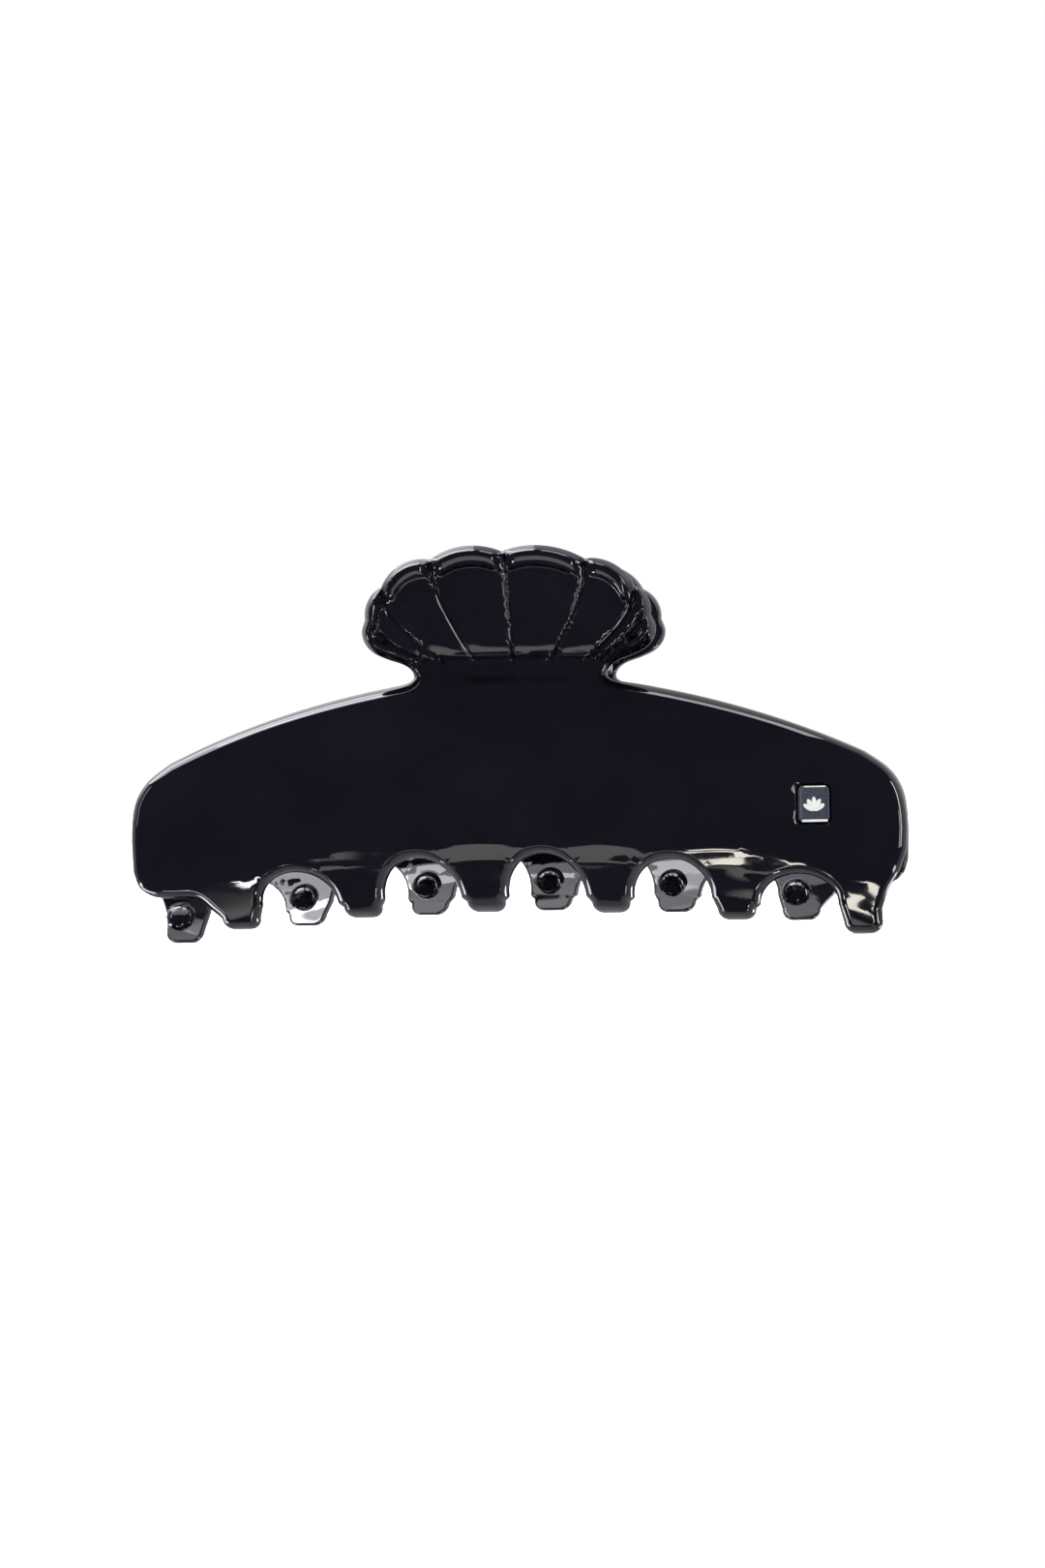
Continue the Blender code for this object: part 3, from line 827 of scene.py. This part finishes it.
def tube(name, path, radius, sides):
    """A round wire along the path, with domed ends."""
    tangents = [
        (path[min(i + 1, len(path) - 1)] - path[max(i - 1, 0)]).normalized()
        for i in range(len(path))
    ]
    side = tangents[0].orthogonal()
    rings = []
    for point, tangent in zip(path, tangents):
        side = (side - tangent * side.dot(tangent)).normalized()
        rings.append((point, side, tangent.cross(side), radius))
    dome = [(math.sin(a), math.cos(a)) for a in (1.3, 0.9, 0.45)]
    start = [
        (path[0] - tangents[0] * radius * s, rings[0][1], rings[0][2], radius * c) for s, c in dome
    ]
    finish = [
        (path[-1] + tangents[-1] * radius * s, rings[-1][1], rings[-1][2], radius * c)
        for s, c in reversed(dome)
    ]
    rings = start + rings + finish
    verts = [path[0] - tangents[0] * radius]
    for point, across, up, size in rings:
        for i in range(sides):
            angle = 2 * math.pi * i / sides
            verts.append(point + across * size * math.cos(angle) + up * size * math.sin(angle))
    verts.append(path[-1] + tangents[-1] * radius)
    faces = []
    last = len(verts) - 1
    for i in range(sides):
        j = (i + 1) % sides
        faces.append((0, 1 + j, 1 + i))
        for ring in range(len(rings) - 1):
            a, b = 1 + ring * sides, 1 + (ring + 1) * sides
            faces.append((a + i, a + j, b + j, b + i))
        end = 1 + (len(rings) - 1) * sides
        faces.append((end + i, end + j, last))
    mesh = bpy.data.meshes.new(name)
    mesh.from_pydata([tuple(v) for v in verts], [], faces)
    mesh.shade_smooth()
    return mesh


# ---------------------------------------------------------------- materials


def new_material(name):
    material = bpy.data.materials.new(name)
    material.use_nodes = True
    return material, material.node_tree, material.node_tree.nodes["Principled BSDF"]


def noise(tree, scale, detail=2.0, stretch=None):
    """Noise in the piece's own coordinates, scale in cycles per metre."""
    coordinates = tree.nodes.new("ShaderNodeTexCoord")
    texture = tree.nodes.new("ShaderNodeTexNoise")
    texture.inputs["Scale"].default_value = scale
    texture.inputs["Detail"].default_value = detail
    if stretch:
        mapping = tree.nodes.new("ShaderNodeMapping")
        mapping.inputs["Scale"].default_value = stretch
        tree.links.new(coordinates.outputs["Object"], mapping.inputs["Vector"])
        tree.links.new(mapping.outputs["Vector"], texture.inputs["Vector"])
    else:
        tree.links.new(coordinates.outputs["Object"], texture.inputs["Vector"])
    return texture.outputs["Fac"]


def between(tree, value, source, target):
    """The value mapped from one range to another."""
    node = tree.nodes.new("ShaderNodeMapRange")
    for number, limit in zip(("From Min", "From Max", "To Min", "To Max"), source + target):
        node.inputs[number].default_value = limit
    tree.links.new(value, node.inputs["Value"])
    return node.outputs["Result"]


def mixed_colour(tree, value, first, second):
    """The first colour where the value is 0 and the second where it is 1, given or from nodes."""
    node = tree.nodes.new("ShaderNodeMix")
    node.data_type = "RGBA"
    for side, colour in (("A", first), ("B", second)):
        if isinstance(colour, bpy.types.NodeSocket):
            tree.links.new(colour, node.inputs[side])
        else:
            node.inputs[side].default_value = (*colour, 1.0)
    tree.links.new(value, node.inputs["Factor"])
    return node.outputs["Result"]


def multiplied(tree, first, second):
    node = tree.nodes.new("ShaderNodeMath")
    node.operation = "MULTIPLY"
    tree.links.new(first, node.inputs[0])
    tree.links.new(second, node.inputs[1])
    return node.outputs["Value"]


def add_bump(tree, shader, height, distance, strength, below=None):
    bump = tree.nodes.new("ShaderNodeBump")
    bump.inputs["Distance"].default_value = distance
    bump.inputs["Strength"].default_value = strength
    tree.links.new(height, bump.inputs["Height"])
    if below:
        tree.links.new(below, bump.inputs["Normal"])
    tree.links.new(bump.outputs["Normal"], shader.inputs["Normal"])
    return bump.outputs["Normal"]


def black_plastic():
    material, tree, shader = new_material("black_plastic")
    tint = between(tree, noise(tree, 90.0, 3.0), (0.35, 0.65), (0.0, 1.0))
    colour = mixed_colour(tree, tint, (0.0012, 0.0012, 0.0022), (0.0017, 0.0017, 0.0030))
    tree.links.new(colour, shader.inputs["Base Color"])
    gloss = between(tree, noise(tree, 450.0, 4.0), (0.3, 0.7), (0.035, 0.07))
    tree.links.new(gloss, shader.inputs["Roughness"])
    shader.inputs["IOR"].default_value = 1.49
    flow = add_bump(tree, shader, noise(tree, 160.0, 1.0), 0.05 * MM, 0.35)
    add_bump(tree, shader, noise(tree, 2500.0, 3.0), 0.002 * MM, 0.25, flow)
    return material


def steel(name, colour, stretch):
    material, tree, shader = new_material(name)
    drawn = noise(tree, 900.0, 5.0, stretch)
    tint = between(tree, noise(tree, 300.0, 3.0), (0.3, 0.7), (0.0, 1.0))
    darker = tuple(0.8 * c for c in colour)
    tree.links.new(mixed_colour(tree, tint, darker, colour), shader.inputs["Base Color"])
    tree.links.new(between(tree, drawn, (0.3, 0.7), (0.16, 0.36)), shader.inputs["Roughness"])
    shader.inputs["Metallic"].default_value = 1.0
    add_bump(tree, shader, drawn, 0.01 * MM, 0.4)
    return material


def slate_plaque():
    material, tree, shader = new_material("slate_plaque")
    flake = between(tree, noise(tree, 6000.0, 2.0), (0.35, 0.65), (0.0, 1.0))
    colour = mixed_colour(tree, flake, (0.026, 0.031, 0.043), (0.036, 0.043, 0.058))
    tree.links.new(colour, shader.inputs["Base Color"])
    gloss = between(tree, noise(tree, 1500.0, 3.0), (0.3, 0.7), (0.18, 0.32))
    tree.links.new(gloss, shader.inputs["Roughness"])
    shader.inputs["Metallic"].default_value = 0.55
    add_bump(tree, shader, noise(tree, 5000.0, 2.0), 0.004 * MM, 0.3)
    return material


def silver_paint():
    material, tree, shader = new_material("plaque_silver")
    flake = between(tree, noise(tree, 9000.0, 2.0), (0.35, 0.65), (0.0, 1.0))
    colour = mixed_colour(tree, flake, (0.20, 0.20, 0.20), (0.27, 0.27, 0.26))
    tree.links.new(colour, shader.inputs["Base Color"])
    shader.inputs["Roughness"].default_value = 0.3
    add_bump(tree, shader, noise(tree, 4000.0, 2.0), 0.004 * MM, 0.3)
    return material


# ---------------------------------------------------------------- assembly


def add_piece(name, mesh, body, slot, *nodes, turn=0.0):
    """Puts a piece in the scene, riding on its body in place of the CAD nodes."""
    piece = bpy.data.objects.new(name, mesh)
    bpy.context.scene.collection.objects.link(piece)
    piece.rotation_euler = (0, 0, turn)
    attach(piece, body)
    if nodes:
        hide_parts(*nodes)
    return piece


def add_jaws():
    plastic = black_plastic()
    slate = slate_plaque()
    jaw = plate("jaw", jaw_net(), ((1, 0, 0), (0, 0, 1)), jaw_faces)
    jaw.materials.append(plastic)
    badge = badge_mesh()
    badge.materials.append(slate)
    fan = fan_mesh()
    fan.materials.append(silver_paint())
    lugs = make_lugs(plastic)
    for half, turn in (("front", 0.0), ("rear", math.pi)):
        body = f"{half}_jaw"
        add_piece(f"{half}_claw_moulding", jaw, body, "claw_plastic", f"{half}_claw", turn=turn)
        add_piece(f"{half}_badge_plaque", badge, body, "plaque", f"{half}_badge", turn=turn)
        add_piece(f"{half}_badge_fan", fan, body, "plaque", turn=turn)
        eyes = add_piece(f"{half}_hinge_lugs", lugs, body, "claw_plastic", turn=turn)
        bevel = eyes.modifiers.new("soft_edges", "BEVEL")
        bevel.width = LUG_BEVEL
        bevel.segments = 3
        bevel.limit_method = "ANGLE"
        bevel.angle_limit = math.radians(50)


def add_hinge():
    pin = pin_mesh()
    pin.materials.append(steel("pin_steel", (0.60, 0.60, 0.62), (0.2, 1.0, 1.0)))
    add_piece("hinge_pin_turned", pin, "rear_jaw", "pin_steel", "hinge_pin")
    wire = tube("torsion_spring_wire", spring_path(), WIRE_RADIUS, 16)
    wire.transform(Matrix.Translation((0, 0, HINGE_Z)))
    wire.materials.append(steel("spring_steel", (0.50, 0.49, 0.48), (1.0, 1.0, 1.0)))
    spring = bpy.data.objects.new("torsion_spring_wire", wire)
    bpy.context.scene.collection.objects.link(spring)
    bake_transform(spring)
    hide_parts("torsion_spring")


# ---------------------------------------------------------------- stage


def add_floor():
    """A pale floor just under the claws, which the clip doesn't mirror."""
    mesh = bpy.data.meshes.new("floor")
    half = 3.0
    level = -0.02 * MM
    corners = ((-half, -half), (half, -half), (half, half), (-half, half))
    mesh.from_pydata([(x, y, level) for x, y in corners], [], [(0, 1, 2, 3)])
    material, _, shader = new_material("pale_floor")
    shader.inputs["Base Color"].default_value = (0.9, 0.9, 0.9, 1.0)
    shader.inputs["Roughness"].default_value = 0.9
    shader.inputs["Specular IOR Level"].default_value = 0.0
    mesh.materials.append(material)
    floor = bpy.data.objects.new("floor", mesh)
    bpy.context.scene.collection.objects.link(floor)
    floor.visible_glossy = False
    floor.visible_shadow = False


def add_camera():
    data = bpy.data.cameras.new("camera")
    data.sensor_width = 36.0
    data.lens = 98.0
    data.clip_start = 0.01
    camera = bpy.data.objects.new("camera", data)
    bpy.context.scene.collection.objects.link(camera)
    yaw = math.radians(6.3)
    roll = math.radians(1.1)
    distance = 0.6
    aim = Vector((0.0006, 0, 0.02165))
    camera.location = aim + distance * Vector((math.sin(yaw), -math.cos(yaw), 0))
    look = Matrix.Rotation(yaw, 3, "Z") @ Matrix.Rotation(math.pi / 2, 3, "X")
    camera.rotation_euler = (look @ Matrix.Rotation(-roll, 3, "Z")).to_euler()
    bpy.context.scene.camera = camera


def add_world():
    """Bright behind, and dark in front but for a patch of table.

    Rough faces get an even light, and the camera sees plain white.
    """
    world = bpy.data.worlds.new("studio")
    bpy.context.scene.world = world
    world.use_nodes = True
    tree = world.node_tree
    background = tree.nodes["Background"]
    coordinates = tree.nodes.new("ShaderNodeTexCoord")
    parts = tree.nodes.new("ShaderNodeSeparateXYZ")
    tree.links.new(coordinates.outputs["Generated"], parts.inputs["Vector"])
    behind = between(tree, parts.outputs["Y"], (0.10, 0.15), (0.0, 1.0))
    below = between(tree, parts.outputs["Y"], (-0.47, -0.44), (0.0, 1.0))
    nearer = between(tree, parts.outputs["Y"], (-0.20, -0.25), (0.0, 1.0))
    low = between(tree, parts.outputs["Z"], (-0.80, -0.84), (0.0, 1.0))
    aside = between(tree, parts.outputs["X"], (-0.30, -0.22), (0.0, 1.0))
    beside = between(tree, parts.outputs["X"], (0.20, 0.04), (0.0, 1.0))
    table = low
    for limit in (below, nearer, aside, beside):
        table = multiplied(tree, table, limit)
    raised = between(tree, parts.outputs["Z"], (-0.3, 0.3), (0.0, 1.0))
    backdrop = mixed_colour(tree, raised, (0.52, 0.53, 0.56), (0.90, 0.90, 0.93))
    front = mixed_colour(tree, table, (0.078, 0.076, 0.10), (1.9, 1.86, 1.8))
    seen = mixed_colour(tree, behind, front, backdrop)
    rays = tree.nodes.new("ShaderNodeLightPath")
    for ray, level in (("Is Diffuse Ray", 3.0), ("Is Camera Ray", 1.0)):
        seen = mixed_colour(tree, rays.outputs[ray], seen, (level, level, level))
    tree.links.new(seen, background.inputs["Color"])


def add_area_light(name, placed, size, radiance, colour):
    """A rectangular light that looks as bright as its radiance, and that the camera can't see."""
    data = bpy.data.lights.new(name, "AREA")
    data.shape = "RECTANGLE"
    data.size, data.size_y = size
    data.energy = radiance * math.pi * size[0] * size[1]
    data.color = colour
    light = bpy.data.objects.new(name, data)
    bpy.context.scene.collection.objects.link(light)
    light.matrix_world = placed
    light.visible_camera = False


def add_softbox(name, towards, along, angles, radiance, colour, distance=1.0):
    """A light far off, as wide and as high in degrees as angles say, its width lying along."""
    towards = Vector(towards).normalized()
    across = (Vector(along) - towards * towards.dot(along)).normalized()
    size = [2 * distance * math.tan(math.radians(angle) / 2) for angle in angles]
    placed = Matrix((across, towards.cross(across), towards)).transposed().to_4x4()
    placed.translation = Vector((0, 0, 0.025)) + towards * distance
    add_area_light(name, placed, size, radiance, colour)


def add_lights():
    cool = (0.94, 0.95, 1.0)
    cream = (1.0, 0.95, 0.84)
    along_x, along_y, along_z = (1, 0, 0), (0, 1, 0), (0, 0, 1)
    add_softbox("overhead_softbox", (-0.5, 0.08, 0.86), along_x, (56, 46), 7.5, cool)
    add_softbox("overhead_back_softbox", (-0.5, 0.6, 0.62), along_x, (52, 30), 1.6, cool)
    add_softbox("top_left_strip", (-0.42, 0.04, 0.9), along_x, (30, 7), 15.0, cool, 0.9)
    add_softbox("right_softbox", (0.98, -0.08, 0.12), along_z, (34, 7), 14.0, cream)
    add_softbox("left_softbox", (-0.95, -0.25, 0.2), along_z, (24, 5), 12.0, cool)
    add_softbox("overhead_right_strip", (0.3, -0.05, 0.95), along_x, (24, 24), 7.0, cool)
    add_softbox("low_right_softbox", (0.155, -0.54, -0.83), along_x, (5, 4.5), 20.0, cream)
    add_softbox("low_end_softbox", (0.235, -0.63, -0.74), along_x, (6, 4), 20.0, cream)
    add_softbox("low_left_softbox", (-0.42, -0.26, -0.87), along_x, (9, 4), 24.0, cool)
    add_softbox("under_right_softbox", (0.28, 0.05, -0.95), along_y, (5, 3), 26.0, cream)
    add_softbox("flank_strip", (0.6, 0.6, -0.5), along_z, (14, 4), 22.0, cool)
    add_softbox("groove_strip_right", (0.84, 0.0, -0.54), along_y, (18, 9), 11.0, cool)
    add_softbox("groove_strip_left", (-0.84, 0.2, -0.5), along_y, (18, 9), 14.0, cool)
    add_softbox("groove_strip_side", (0.93, -0.33, -0.1), along_z, (16, 5), 14.0, cool)
    add_softbox("groove_strip_low", (-0.62, 0.33, -0.7), along_z, (26, 12), 9.0, cool)
    for name, x, y, z, length, width in (
        ("inner_strip", 0, 5.6, 25, 58, 5), ("inner_strip_right", 42, -0.8, 18, 22, 4),
        ("inner_strip_left", -39, -2.7, 18, 16, 7.5), ("inner_strip_end", -49, -2.3, 6, 9, 4),
    ):
        placed = Matrix.Translation((x * MM, y * MM, z * MM))
        add_area_light(name, placed, (length * MM, width * MM), 2.7, cool)


bpy.context.scene.view_settings.view_transform = "Standard"
add_jaws()
add_hinge()
add_floor()
add_camera()
add_world()
add_lights()
